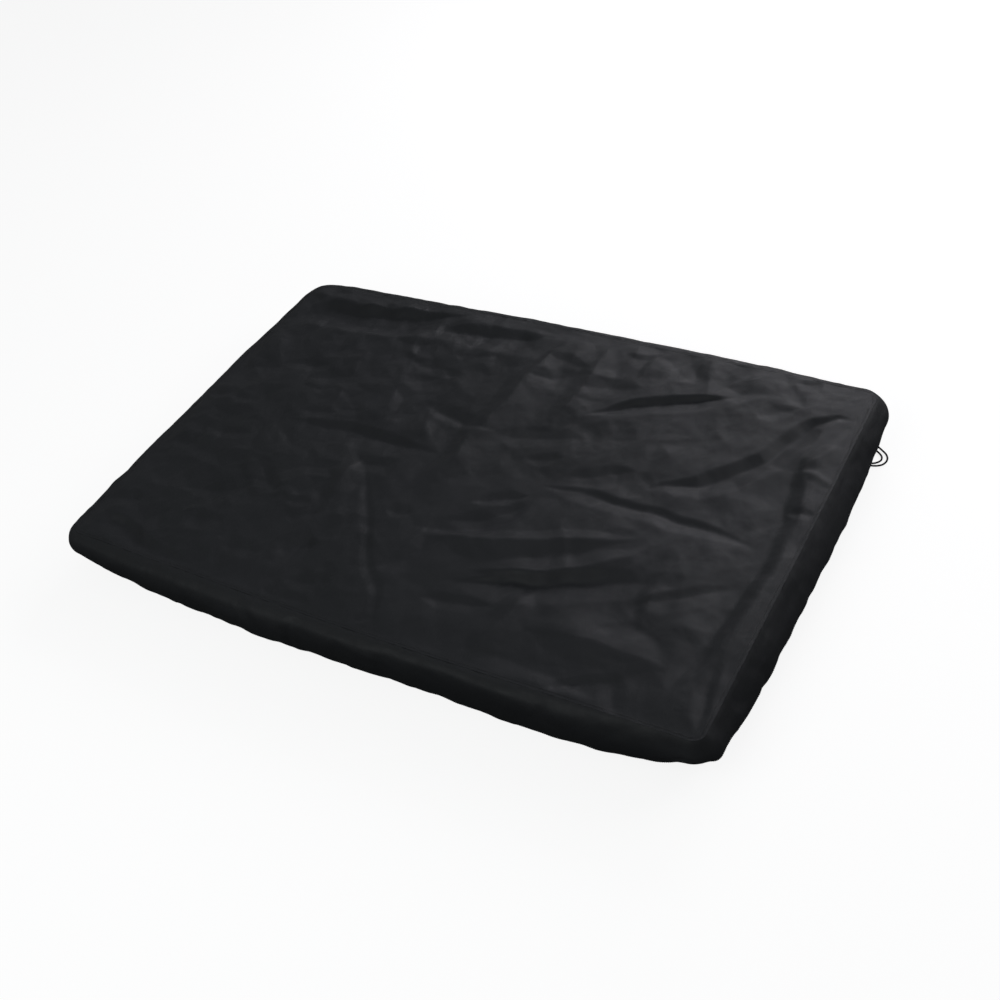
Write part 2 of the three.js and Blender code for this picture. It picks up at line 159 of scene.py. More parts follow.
FOLD_END = 0.3  # share of a fold's line over which it dies out at each end
CREASE_END = 0.34  # and of a fine crease's line
END_WIDTH = 0.15  # share of a flank's reach that is left at the ends
CREASE_MORE = 0.3  # share of a fine crease's line by which each end runs on
FOOT = 0.11  # softness of a flank's foot, as a share of its reach
FOLD_ROUND = 2.0  # rounding of the cloth along a main crest or trough
CREASE_ROUND = 1.4  # rounding along a fine crease

# Main folds of the top panel: height (below zero for a trough), reach of the flanks to
# the left and right of the line's direction, and the line. A list has its sizes at equal steps.
FOLDS = [
    # folds across the middle
    ([4, 7, 11, 13, 13, 12, 11, 7], [46, 60, 78, 84, 70, 56, 50],
     [20, 22, 42, 46, 38, 40, 44],
     [(58, 452), (40, 413), (18, 383), (13, 318), (4, 269), (5, 189), (-3, 130), (-15, 80),
      (-16, 30), (-13, -10), (-36, -49), (-56, -99), (-83, -161)]),
    (7, 55, 30,
     [(136, 445), (140, 388), (142, 288), (140, 219), (130, 159), (104, 130)]),
    # back right
    ([-5, -11, -13, -12, -6], [8, 10, 13, 12, 8],
     [30, 36, 40, 44, 36],
     [(180, 200), (203, 215), (269, 269), (336, 300), (436, 338), (485, 364)]),
    ([-10, -13, -13, -12, -7], [26, 38, 38, 46, 40],
     [16, 20, 22, 24, 18],
     [(746, 364), (694, 356), (659, 324), (623, 257), (603, 194), (555, 131), (505, 86),
      (436, 62), (396, 30)]),
    # right edge
    ([-10, -12, -12, -12, -11, -9], [28, 36, 38, 36, 36, 34],
     [46, 80, 90, 80, 60, 44],
     [(694, 288), (666, 224), (664, 179), (674, 110), (689, 50), (690, -10), (694, -89),
      (688, -159), (678, -258), (666, -357), (658, -447)]),
    (7, 32, 34,
     [(740, 388), (726, 298), (710, 219), (716, 120), (726, 40), (728, -59), (726, -159),
      (720, -268), (704, -357), (694, -457)]),
    # packing fold along the middle
    (-6, 15, 30,
     [(187, -18), (307, -14), (426, -16), (525, -20), (605, -24), (672, -31)]),
    ([-4, -7, -8, -7, -4], [12, 20, 24, 20, 12], 44,
     [(-508, -10), (-389, -4), (-319, 5), (-240, 2), (-141, -2), (-51, -6)]),
    # front right
    ([5, 10, 10, 9, 8, 5], 28, [20, 50, 46, 34, 22, 12],
     [(28, -226), (158, -204), (277, -169), (386, -122), (472, -91)]),
    ([4, 7, 8, 9, 9, 6], 36, [8, 12, 18, 26, 28, 20],
     [(168, -283), (267, -254), (336, -236), (406, -188), (458, -144), (493, -93)]),
    ([-7, -9, -11, -10, -6, -3], [12, 13, 18, 26, 30, 26],
     [44, 56, 60, 50, 40, 34],
     [(128, -324), (227, -294), (307, -265), (366, -242), (436, -215), (500, -190),
      (519, -129), (527, -59)]),
    (8, 62, 46,
     [(346, -359), (456, -353), (565, -353), (649, -357)]),
    (7, 42, 32,
     [(323, -270), (311, -333), (304, -382), (289, -437), (283, -477)]),
    # back left
    ([-10, -14, -15, -14, -13, -9], [52, 44, 30, 26, 20, 18],
     [60, 74, 80, 84, 80, 60],
     [(-775, 312), (-739, 332), (-687, 364), (-637, 384), (-548, 390), (-468, 400), (-389, 416),
      (-329, 438), (-280, 449), (-225, 462)]),
    (9.5, 42, 130,
     [(-730, 300), (-625, 314), (-548, 311), (-466, 308), (-380, 330), (-300, 344), (-190, 342),
      (-60, 340), (-12, 344)]),
    ([-5, -8, -11, -11, -8], [14, 22, 30, 30, 20],
     [50, 58, 60, 58, 50],
     [(-350, 372), (-300, 380), (-240, 391), (-170, 401), (-91, 407), (-41, 420), (1, 455)]),
    (-6, 28, 44,
     [(-280, 181), (-225, 211), (-190, 234), (-145, 251)]),
    (6, 58, 26,
     [(-722, 279), (-719, 189), (-729, 110)]),
    # front left
    ([-8, -12, -13, -13, -10, -8], [16, 24, 20, 26, 20, 16],
     [44, 46, 40, 34, 24, 20],
     [(-743, -393), (-687, -415), (-627, -433), (-568, -449), (-518, -467), (-429, -469),
      (-359, -465)]),
    (-7, 46, 32,
     [(-554, -334), (-510, -310), (-483, -276), (-429, -253)]),
    (-6, 28, 30,
     [(-493, -137), (-429, -174), (-389, -208), (-329, -230)]),
    (6, 42, 28,
     [(-226, -69), (-230, -139), (-216, -208), (-204, -253)]),
    (-7, 26, 46,
     [(-260, -373), (-222, -357), (-195, -333), (-155, -318)]),
]

# Fine creases of the top panel, in the same columns
CREASES = [
    # back left
    (3, 17, 16, [(-672, 474), (-612, 477), (-552, 470)]),
    (6.5, 44, 26, [(-708, 437), (-642, 432), (-560, 428), (-486, 424)]),
    (5, 34, 21, [(-490, 448), (-442, 438), (-388, 442)]),
    (-4, 31, 29, [(-284, 458), (-290, 420), (-297, 386)]),
    (-3, 18, 21, [(-374, 317), (-338, 309), (-298, 322)]),
    (3, 20, 16, [(-320, 282), (-292, 275), (-266, 276)]),
    (-4, 20, 23, [(-616, 169), (-576, 177), (-532, 185)]),
    (-5, 29, 34, [(-515, 140), (-462, 157), (-420, 168)]),
    (-4, 18, 21, [(-458, 29), (-425, 35), (-392, 43)]),
    (-2.5, 18, 18, [(-478, 106), (-450, 113), (-422, 112)]),
    (-3, 21, 18, [(-388, 59), (-355, 63), (-322, 69)]),
    (-4, 23, 18, [(-736, 10), (-702, 15), (-668, 27)]),
    (-2.5, 16, 16, [(-668, 13), (-640, 17), (-610, 25)]),
    (2.5, 39, 44, [(-560, 110), (-545, 70), (-556, 22)]),
    (-2, 39, 39, [(-640, 205), (-628, 168), (-600, 138)]),
    # back middle
    (4, 52, 22, [(20, 383), (62, 388), (110, 367)]),
    (-4, 31, 42, [(16, 288), (58, 296), (104, 320)]),
    (-4, 31, 34, [(147, 289), (200, 305), (248, 317)]),
    (-4.5, 34, 34, [(54, 91), (125, 112), (192, 127)]),
    (-3, 16, 18, [(144, 41), (170, 52), (198, 63)]),
    (-4.5, 29, 21, [(-160, 131), (-100, 111), (-45, 99), (-8, 96)]),
    (2.5, 18, 23, [(-152, 105), (-112, 97), (-70, 91)]),
    (-3, 34, 34, [(150, 205), (140, 182), (146, 150)]),
    # back right
    (4, 44, 16, [(194, 429), (220, 434), (250, 446)]),
    (3.5, 55, 18, [(263, 468), (257, 420), (251, 372)]),
    (-4.5, 44, 55, [(314, 470), (338, 430), (374, 398)]),
    (2.5, 57, 16, [(379, 466), (378, 435), (376, 402)]),
    (-6.5, 70, 34, [(458, 468), (438, 428), (441, 388), (480, 372), (508, 377)]),
    (-2.5, 21, 21, [(545, 456), (575, 416), (606, 380)]),
    (-4.5, 16, 26, [(586, 438), (606, 440), (628, 450)]),
    (-2, 18, 23, [(548, 314), (574, 338), (596, 352)]),
    (-2, 29, 23, [(470, 305), (492, 275), (500, 240)]),
    (-3.5, 62, 31, [(224, 160), (268, 147), (316, 159)]),
    (-5, 23, 52, [(252, 25), (292, 42), (324, 63), (352, 71)]),
    (-3.5, 34, 29, [(396, 74), (386, 46), (378, 16)]),
    # right edge
    (5.5, 26, 29, [(686, 202), (702, 236), (726, 264)]),
    (3, 13, 13, [(698, 177), (722, 172), (746, 167)]),
    (-3.5, 13, 16, [(702, 73), (718, 76), (738, 82)]),
    # front right
    (-4.5, 20, 18, [(100, -102), (135, -86), (174, -64)]),
    (-6, 26, 34, [(88, -162), (135, -146), (166, -118), (190, -88)]),
    (-4.5, 36, 21, [(34, -206), (100, -188), (152, -163), (176, -148)]),
    (-5.5, 42, 26, [(42, -224), (57, -262), (37, -300), (6, -321)]),
    (-4, 16, 21, [(146, -368), (195, -359), (250, -349)]),
    (-2, 16, 23, [(512, -192), (517, -226), (530, -262)]),
    (2, 29, 18, [(534, -190), (548, -236), (554, -280)]),
    (-4, 18, 34, [(544, -230), (600, -195), (650, -157)]),
    (-4.5, 60, 29, [(294, -444), (370, -436), (430, -445), (506, -452)]),
    (-4.5, 18, 34, [(494, -448), (530, -429), (566, -410)]),
    (-3.5, 23, 26, [(562, -414), (574, -442), (594, -472)]),
    (-4, 13, 16, [(458, -468), (478, -456), (498, -444)]),
    (-5, 17, 20, [(715, -318), (720, -370), (730, -436)]),
    (3.5, 16, 14, [(732, -328), (738, -390), (745, -444)]),
    (2.5, 52, 52, [(640, -190), (634, -260), (640, -330)]),
    # front left
    (-2, 44, 39, [(-266, -38), (-215, -92), (-162, -150), (-118, -205)]),
    (-3.5, 14, 17, [(-160, -150), (-112, -214), (-62, -288), (-12, -348), (26, -380), (58, -440)]),
    (-4, 18, 23, [(-622, -102), (-586, -92), (-548, -81)]),
    (-4, 26, 23, [(-712, -160), (-688, -152), (-660, -149)]),
    (-7, 57, 26, [(-562, -274), (-520, -262), (-480, -256), (-438, -236)]),
    (-5, 21, 34, [(-506, -345), (-470, -349), (-432, -343)]),
    (4, 26, 18, [(-520, -338), (-500, -320), (-482, -296)]),
    (-5.5, 23, 26, [(-735, -360), (-700, -356), (-666, -345)]),
    (-5, 31, 31, [(-360, -374), (-350, -415), (-352, -470)]),
    (-4, 29, 26, [(-350, -400), (-315, -394), (-282, -385)]),
    (4, 16, 18, [(-352, -228), (-328, -218), (-302, -222)]),
    (-3.5, 16, 16, [(-302, -236), (-284, -232), (-262, -233)]),
    (-4, 29, 21, [(-278, -274), (-244, -263), (-218, -247)]),
    (5, 52, 34, [(-230, -244), (-195, -247), (-160, -238)]),
    (-5.5, 34, 26, [(-164, -256), (-180, -290), (-200, -330)]),
    (-4, 21, 23, [(-158, -426), (-118, -420), (-84, -408)]),
    (-3.5, 18, 21, [(-148, -474), (-124, -466), (-98, -464)]),
    (3.5, 16, 16, [(-200, -440), (-203, -462), (-204, -484)]),
    (-3.5, 16, 16, [(22, -470), (40, -461), (58, -452)]),
    (-3.5, 23, 23, [(-114, -366), (-98, -384), (-90, -404)]),
    (-4, 23, 18, [(-68, -190), (-46, -187), (-24, -183)]),
]

# Chance creases that a packed cloth keeps: how many in the top, lengths, heights, flanks, bends
CRUMPLE = {"count": 120, "length": (70, 240), "height": (0.4, 1.6), "flank": (12, 38),
           "bend": (-0.35, 0.35)}
CRUMPLE_SEED = 11
CRUMPLE_FIELD = ((-750, -480), (750, 480))

# Flat facets between straight chance creases: size, height in the right half and in the left,
# turn of their grid in degrees, seed
FACETS = [(100, 3.2, 4.5, 24, 21), (40, 1.3, 3.6, -37, 22), (20, 0.35, 1.1, 61, 23)]
FACETS_LEFT = (120, 420)  # x where the left half's heights begin, and over what distance
FACET_SPLIT = 1000  # turns a chance value into the choice of a square's diagonal
FACET_WANDER = (12, 90)  # how far their creases wander, and over what distance
WARP = (3.5, 46)  # the same for the lines of all creases
BILLOWS = [(1.6, 110, 3), (0.7, 37, 4)]  # soft hills between the creases: height, size, seed
CHANCE_CELLS = 64  # chance values each way before they repeat

TOP_CELLS_LONG = 376
TOP_CELLS_DEEP = 240
SECTION_ROWS = 40  # rows of cloth from the seam down to the hem's edge
HEM_TURN = 28  # cloth turned up inside the hem
HEM_ROWS = 10
HEM_THICK = 2.6  # from the outer cloth of the hem to the turned cloth inside it
HEM_LINE = (0.8, 2.2)  # depth and width of the groove along the hem's stitches

# Puckers of the side pieces: height, size along the seam, shares of the way down and of the
# wander that count, seed, and how far they reach from where they begin
PUCKERS = {
    "hem": (0.4, 9, 0.22, 0.4, 1, 22),
    "drape": (0.6, 24, 0.35, 1.0, 2, 60),
    "broad": (1.6, 70, 0.5, 1.0, 3, 40),
    "seam": (0.7, 14, 0.3, 0.0, 5, 14),
}
PUCKER_START = 25  # way down from the seam over which all but the seam's own grow
SIDE_CREASES = (14, 4)  # length of a side for each of its chance creases, and their seed
SIDE_WANDER = (10, 40)  # how far the puckers wander, and over what distance
SIDE_STILL = 30  # length beside a corner over which they die down

# Sewing
STITCH = 3.2  # length of one stitch
STITCH_PITCH = 4.3
THREAD = 0.75
STITCH_SIDES = 6
STITCH_AHEAD = 0.5  # distance over which a stitch's direction is read
TOP_STITCH_IN = 6.0  # topstitching inside the seam of the top
TOP_STITCH_POINTS = 400  # points of its line along each side
HEM_STITCH_IN = 3  # hem's stitches inside the edge of the turned cloth
# Rings of one stitch: place as a share of its length, and height
STITCH_RINGS = [(-0.5, -0.35), (-0.36, 0.15), (0.0, 0.32), (0.36, 0.15), (0.5, -0.35)]

# Finishes: two colours, range of roughness, sizes in metres of the drifts that move them, gloss,
# and bumps: kind, its input, the value for it, depth in metres, strength
CLOTH_BUMPS = [("rumple", "Size", 0.045, 0.004, 0.25), ("weave", "Threads", 1300.0, 0.0002, 0.35)]
FINISHES = {
    "top cloth": ((0.0165, 0.0185, 0.0215), (0.0235, 0.025, 0.0295), (0.50, 0.62), (0.35, 0.03),
                  0.42, CLOTH_BUMPS),
    # The side cloth is the top cloth with its lighter colour a little darker: painted shade on the
    # side pieces, which face away from the lights.
    "side cloth with painted shade": ((0.0165, 0.0185, 0.021), (0.022, 0.0235, 0.027), (0.50, 0.64), (0.35, 0.03),
                   0.42, CLOTH_BUMPS),
    "black thread": ((0.016, 0.016, 0.018), (0.03, 0.03, 0.033), (0.45, 0.6), (0.01, 0.01), 0.5,
                     []),
    "black braided cord": ((0.006, 0.006, 0.007), (0.016, 0.016, 0.018), (0.6, 0.8),
                           (0.004, 0.004), 0.5, [("weave", "Threads", 3200.0, 0.0002, 0.5)]),
}

# Floor and surroundings: as the camera sees them, and dimmer as they light the cover
FLOOR_HEIGHT = -107.4
FLOOR_SIZE = 60  # metres
FLOOR_SEEN = (0.32, 0.32, 0.32, 1)
FLOOR_GLOW = 0.86
FLOOR_DULL = (0.12, 0.12, 0.12, 1)
ROOM_COLOUR = (0.97, 1, 1, 1)
ROOM_LEVELS = (0.148, 1.0)

# Soft lights: name, heading from +Y towards +X and climb above the floor in degrees, distance,
# width and height in metres, power, colour
LIGHTS = [
    ("back light", 3, 25, 3.6, 2.4, 1.2, 32, (1.0, 0.975, 1.03)),
    ("right light", 50, 27, 3.6, 2.0, 1.2, 20, (1.0, 0.98, 1.02)),
    ("front fill", -168, 42, 3.6, 2.6, 2.2, 19, (0.97, 1.0, 1.0)),
]


def smooth(share):
    clipped = np.clip(share, 0.0, 1.0)
    return clipped * clipped * (3.0 - 2.0 * clipped)


def fall_off(distance, width):
    """1 at no distance, and almost 0 two widths away."""
    return np.exp(-(distance / width) ** 2)


def across(values, share):
    """Values at equal steps, read at any share from 0 to 1 along a line without corners."""
    values = np.asarray(values, float)
    place = np.clip(share, 0.0, 1.0) * (len(values) - 1)
    step = np.minimum(np.floor(place).astype(int), len(values) - 2)
    part = place - step
    before = values[np.maximum(step - 1, 0)]
    after = values[np.minimum(step + 2, len(values) - 1)]
    slope_start = (values[step + 1] - before) / 2
    slope_end = (after - values[step]) / 2
    square = part * part
    cube = square * part
    return ((2 * cube - 3 * square + 1) * values[step] + (cube - 2 * square + part) * slope_start
            + (3 * square - 2 * cube) * values[step + 1] + (cube - square) * slope_end)


def chance_squares(u, v, seed):
    """Grid of chance values from -1 to 1, the rows and columns of it on either side of each
    place, and the place's shares of the way between them."""
    grid = np.random.default_rng(seed).uniform(-1, 1, (CHANCE_CELLS, CHANCE_CELLS))
    i, j = np.floor(u).astype(int), np.floor(v).astype(int)
    return (grid, i % CHANCE_CELLS, (i + 1) % CHANCE_CELLS, j % CHANCE_CELLS,
            (j + 1) % CHANCE_CELLS, u - i, v - j)


def chance_field(x, y, size, seed):
    """Soft chance values from -1 to 1 over the plane, with hills about one size apart."""
    grid, i0, i1, j0, j1, fu, fv = chance_squares(x / size, y / size, seed)
    fu, fv = smooth(fu), smooth(fv)
    near = grid[i0, j0] * (1 - fu) + grid[i1, j0] * fu
    far = grid[i0, j1] * (1 - fu) + grid[i1, j1] * fu
    return near * (1 - fv) + far * fv


def shifts(x, y, swing, size, seed):
    """Chance shifts of places in the plane."""
    return swing * chance_field(x, y, size, seed), swing * chance_field(x, y, size, seed + 1)


def facet_field(x, y, size, turn, seed):
    """Chance values from -1 to 1 over the plane, as flat facets that meet in straight creases."""
    cos, sin = math.cos(math.radians(turn)), math.sin(math.radians(turn))
    grid, i0, i1, j0, j1, fu, fv = chance_squares(
        (x * cos + y * sin) / size, (y * cos - x * sin) / size, seed)
    other = (grid[i0, j0] * FACET_SPLIT) % 2 > 1
    i0, i1 = np.where(other, i1, i0), np.where(other, i0, i1)
    fu = np.where(other, 1 - fu, fu)
    near, right, ahead, far = grid[i0, j0], grid[i1, j0], grid[i0, j1], grid[i1, j1]
    return np.where(fu > fv, near + (right - near) * fu + (far - right) * fv,
                    near + (ahead - near) * fv + (far - ahead) * fu)


def along_line(value, share):
    """A size that is the same all along a line, or sizes at equal steps of it."""
    if isinstance(value, (int, float)):
        return value
    return np.interp(share, np.linspace(0, 1, len(value)), value)


def fold_height(x, y, height, left, right, line, rounding, fold_end):
    """Height that one fold adds: a crest with two straight flanks, or a trough. Towards the
    ends of its line a fold gets lower and narrower."""
    line = np.asarray(line, float)
    reach = (max(np.max(left), np.max(right)) + 2 * rounding) * (1 + FOOT)
    low, high = line.min(axis=0) - reach, line.max(axis=0) + reach
    near = (x > low[0]) & (x < high[0]) & (y > low[1]) & (y < high[1])
    result = np.zeros_like(x)
    if not near.any():
        return result
    px, py = x[near], y[near]
    best = np.full(px.shape, np.inf)
    on_left = np.zeros(px.shape)
    way = np.zeros(px.shape)
    total = 0.0
    for (x0, y0), (x1, y1) in zip(line[:-1], line[1:]):
        length = math.hypot(x1 - x0, y1 - y0)
        ax, ay = (x1 - x0) / length, (y1 - y0) / length
        along = np.clip((px - x0) * ax + (py - y0) * ay, 0, length)
        dx, dy = px - x0 - along * ax, py - y0 - along * ay
        distance = np.hypot(dx, dy)
        closer = distance < best
        best = np.where(closer, distance, best)
        side = np.clip((ax * dy - ay * dx) / np.maximum(distance, 1e-6), -1, 1)
        on_left = np.where(closer, 0.5 + 0.5 * side, on_left)
        way = np.where(closer, total + along, way)
        total += length
    share = way / total
    ends = smooth(share / fold_end) * smooth((1 - share) / fold_end)
    height, left, right = (along_line(value, share) for value in (height, left, right))
    width = (right + (left - right) * on_left) * (END_WIDTH + (1 - END_WIDTH) * ends)
    flank = 1 - (np.hypot(best, rounding) - rounding) / width
    foot = np.clip(flank + FOOT, 0, 2 * FOOT)
    flank = np.where(flank > FOOT, flank, foot * foot / (4 * FOOT))
    result[near] = height * flank * ends
    return result


def run_out(line):
    """A crease's line, prolonged at both ends, where the crease dies out."""
    p = np.asarray(line, float)
    extra = CREASE_MORE * np.hypot(*np.diff(p, axis=0).T).sum()
    return np.concatenate([[p[0] + extra * unit(p[0] - p[1])], p[1:-1],
                           [p[-1] + extra * unit(p[-1] - p[-2])]])


def corner_point(index):
    return np.array(CORNERS[index % len(CORNERS)][:2], float)


def outward_of(along):
    return np.array([along[1], -along[0]])


def unit(vector):
    return vector / np.linalg.norm(vector)


def units(vectors):
    return vectors / np.maximum(np.linalg.norm(vectors, axis=-1, keepdims=True), 1e-9)


def seam_line(index, t):
    """Seam of one side from the middle of one corner to the middle of the next: its points,
    its outward directions and the directions against the elastic's pull, at shares t of it."""
    start, end = corner_point(index), corner_point(index + 1)
    along = unit(end - start)
    out = outward_of(along)
    along_before = unit(start - corner_point(index - 1))
    along_after = unit(corner_point(index + 2) - end)
    turn_start = math.acos(along_before @ along) / 2
    turn_end = math.acos(along @ along_after) / 2
    round_start, round_end = CORNERS[index][2], CORNERS[(index + 1) % len(CORNERS)][2]
    in_start, in_end = round_start * math.tan(turn_start), round_end * math.tan(turn_end)
    arc_start, arc_end = round_start * turn_start, round_end * turn_end
    straight = np.linalg.norm(end - start) - in_start - in_end
    length = arc_start + straight + arc_end

    way = np.asarray(t, float) * length
    at_start, at_end = way < arc_start, way > arc_start + straight
    turn = np.where(at_start, way / round_start - turn_start,
                    np.where(at_end, (way - arc_start - straight) / round_end, 0.0))
    radius = np.where(at_start, round_start, np.where(at_end, round_end, 0.0))
    run = np.where(at_start, in_start,
                   np.where(at_end, in_start + straight, in_start + way - arc_start))

    def turned(angle):
        return np.cos(angle)[..., None] * out + np.sin(angle)[..., None] * along

    outward = turned(turn)
    bow = SIDES[index]["bow"] * np.sin(math.pi * np.asarray(t)) ** 2
    point = start + run[..., None] * along + (bow - radius)[..., None] * out
    point = point + radius[..., None] * outward
    askew = (turn_end * (1 - smooth((length - way) / CORNER_PULL))
             - turn_start * (1 - smooth(way / CORNER_PULL)))
    return point, outward, turned(askew), length


def seam_distance(x, y):
    """Distance from points of the top panel to the nearest straight seam."""
    nearest = np.full(np.shape(x), np.inf)
    for index in range(len(CORNERS)):
        start = corner_point(index)
        out = outward_of(unit(corner_point(index + 1) - start))
        nearest = np.minimum(nearest, (start[0] - x) * out[0] + (start[1] - y) * out[1])
    return np.maximum(nearest, 0)


def crumple_height(x, y, low, high, seed, count):
    """Small chance creases between two corners of a flat cloth."""
    chance = np.random.default_rng(seed)
    result = np.zeros_like(x)
    for _ in range(count):
        middle = chance.uniform(low, high)
        heading = chance.uniform(0, math.pi)
        bend = chance.uniform(*CRUMPLE["bend"])
        length = chance.uniform(*CRUMPLE["length"])
        height = chance.uniform(*CRUMPLE["height"]) * chance.choice([-1, 1])
        left, right = chance.uniform(*CRUMPLE["flank"], 2)
        half = np.array([math.cos(heading), math.sin(heading)]) * length / 2
        aside = outward_of(half) * bend
        line = [middle - half, middle + aside, middle + half]
        result += fold_height(x, y, height, left, right, line, CREASE_ROUND, CREASE_END)
    return result


def top_height(x, y):
    """Height of the top cloth above the rest plane."""
    shift_x, shift_y = shifts(x, y, *WARP, 1)
    wx, wy = x + shift_x, y + shift_y
    folds = np.zeros_like(x)
    for height, left, right, line in FOLDS:
        folds += fold_height(wx, wy, height, left, right, line, FOLD_ROUND, FOLD_END)
    fine = np.zeros_like(x)
    for height, left, right, line in CREASES:
        fine += fold_height(wx, wy, height, left, right, run_out(line),
                            CREASE_ROUND, CREASE_END)
    fine += crumple_height(wx, wy, *CRUMPLE_FIELD, CRUMPLE_SEED, CRUMPLE["count"])
    for height, size, seed in BILLOWS:
        fine += height * chance_field(x, y, size, seed)
    shift_x, shift_y = shifts(x, y, *FACET_WANDER, 5)
    leftwards = smooth((FACETS_LEFT[0] - x) / FACETS_LEFT[1])
    for size, right_height, left_height, turn, seed in FACETS:
        height = right_height + (left_height - right_height) * leftwards
        fine += height * facet_field(wx + shift_x, wy + shift_y, size, turn, seed)
    distance = seam_distance(x, y)
    calm = smooth(distance / SEAM_CALM)
    folds = folds * (SEAM_SHARE + (1 - SEAM_SHARE) * calm)
    fine = fine * (FINE_SHARE + (1 - FINE_SHARE) * calm)
    fine = fine * smooth((distance + CREASE_OUT) / SEAM_FADE)
    crown = CROWN * (1 - np.abs(x) / abs(CORNERS[0][0]))
    flat = SEAM_HEIGHT + (FLAT_HEIGHT - SEAM_HEIGHT) * smooth(distance / SEAM_RISE)
    height = flat + crown + folds + fine - SEAM_DIP[0] * fall_off(distance, SEAM_DIP[1])
    return LOWEST + 0.5 * (height - LOWEST + np.hypot(height - LOWEST, TROUGH_ROUND))


def grid_faces(rows, columns):
    index = np.arange(rows * columns).reshape(rows, columns)
    return np.stack([index[:-1, :-1], index[:-1, 1:], index[1:, 1:], index[1:, :-1]],
                    axis=-1).reshape(-1, 4)


def add_object(name, data):
    thing = bpy.data.objects.new(name, data)
    bpy.context.scene.collection.objects.link(thing)
    return thing


def add_mesh(name, points, faces, uv, material):
    """Object of a mesh from points in millimetres, faces of equal size and a UV for each
    point in metres."""
    mesh = bpy.data.meshes.new(name)
    size = faces.shape[1]
    mesh.vertices.add(len(points))
    mesh.vertices.foreach_set("co", (points * MM).astype(np.float32).ravel())
    mesh.loops.add(faces.size)
    mesh.loops.foreach_set("vertex_index", faces.astype(np.int32).ravel())
    mesh.polygons.add(len(faces))
    mesh.polygons.foreach_set("loop_start", np.arange(0, faces.size, size, dtype=np.int32))
    layer = mesh.uv_layers.new(name="UVMap")
    layer.data.foreach_set("uv", uv[faces.ravel()].astype(np.float32).ravel())
    mesh.update(calc_edges=True)
    mesh.validate()
    mesh.shade_smooth()
    mesh.materials.append(material)
    return add_object(name, mesh)


def panel_places():
    """Plan places of the top panel's grid: the four seam lines blended over the panel."""
    u = np.linspace(0, 1, TOP_CELLS_LONG + 1)
    v = np.linspace(0, 1, TOP_CELLS_DEEP + 1)
    front, out_front, _, _ = seam_line(0, u)
    right, out_right, _, _ = seam_line(1, v)
    back, out_back, _, _ = seam_line(2, 1 - u)
    left, out_left, _, _ = seam_line(3, 1 - v)
    uu, vv = u[None, :, None], v[:, None, None]
    places = ((1 - vv) * front[None] + vv * back[None] + (1 - uu) * left[:, None]
              + uu * right[:, None] - (1 - uu) * (1 - vv) * front[0] - uu * (1 - vv) * front[-1]
              - uu * vv * back[-1] - (1 - uu) * vv * back[0])
    places[0] -= out_front * SEAM_GAP / 2
    places[-1] -= out_back * SEAM_GAP / 2
    places[1:-1, 0] -= out_left[1:-1] * SEAM_GAP / 2
    places[1:-1, -1] -= out_right[1:-1] * SEAM_GAP / 2
    return places


def make_top_panel(material):
    places = panel_places()
    x, y = places[..., 0].ravel(), places[..., 1].ravel()
    points = np.stack([x, y, top_height(x, y)], axis=1)
    rows, columns = TOP_CELLS_DEEP + 1, TOP_CELLS_LONG + 1
    index = np.arange(rows * columns).reshape(rows, columns)
    rim = np.concatenate([index[0, :-1], index[:-1, -1], index[-1, :0:-1], index[:0:-1, 0]])
    upper = points[rim]
    lower = upper - [0, 0, SEAM_TURN]
    first = len(points) + np.arange(len(rim))
    following = np.roll(first, -1)
    turned = np.stack([first, first + len(rim), following + len(rim), following], axis=1)
    points = np.concatenate([points, upper, lower])
    faces = np.concatenate([grid_faces(rows, columns), turned])
    return add_mesh("top_panel_cloth", points, faces, points[:, :2] * MM, material)


def gather(side, t):
    """Swing of a side piece's gathers, still at both of its ends."""
    often, start = SECOND_GATHER
    first = np.sin(2 * math.pi * side["waves"] * t)
    second = np.sin(2 * math.pi * (often * side["waves"] * t + start))
    still = np.sqrt(np.clip(np.sin(math.pi * t), 0, 1))
    return WAVE_HEIGHT * still * (GATHERS[0] * first + GATHERS[1] * second)


def grid_normals(points):
    """Directions across a grid of points, out of the cover."""
    along = np.gradient(points, axis=1)
    down = np.gradient(points, axis=0)
    return units(np.cross(down, along))


def side_surface(index):
    """Points of a side piece's cloth from the seam down to the hem's edge, its normals, and
    for each point the length along the seam and the way down the cloth."""
    side = SIDES[index]
    t = np.linspace(0, 1, side["cells"] + 1)
    point, outward, pull, length = seam_line(index, t)
    share = np.linspace(0, 1, SECTION_ROWS + 1)[:, None]
    flare = across(side["flare"], t)[None]

    def section(name):
        return (across(SECTION[name], share) * (1 - flare)
                + across(SECTION["flared_" + name], share) * flare)

    out, down = section("out"), section("down")
    tuck = across(SECTION["tuck"], share)
    dent = np.zeros_like(t)
    for node, middle, width, depth in DENTS:
        if node == side["node"]:
            dent += depth * fall_off(t * length - middle, width)
    wave = across(SECTION["wave"], share)
    seam_height = top_height(point[:, 0], point[:, 1])
    reach = out * across(side["overhang"], t)[None] + wave * gather(side, t)[None]
    drawn = tuck * across(side["tuck"], t)[None]
    height = seam_height[None] * (1 - down) ** 2 - down * across(side["drop"], t)[None]
    reach = reach - DENT_TUCK * tuck * dent[None]
    height = height + down ** DENT_POWER * dent[None]
    plan = (point[None] + (reach + SEAM_GAP / 2)[..., None] * outward[None]
            - drawn[..., None] * pull[None])
    points = np.concatenate([plan, height[..., None]], axis=-1)
    steps = np.linalg.norm(np.diff(points, axis=0), axis=-1)
    way = np.concatenate([np.zeros((1, len(t))), np.cumsum(steps, axis=0)])
    run = np.broadcast_to(t[None] * length, way.shape)
    return points, grid_normals(points), run, way


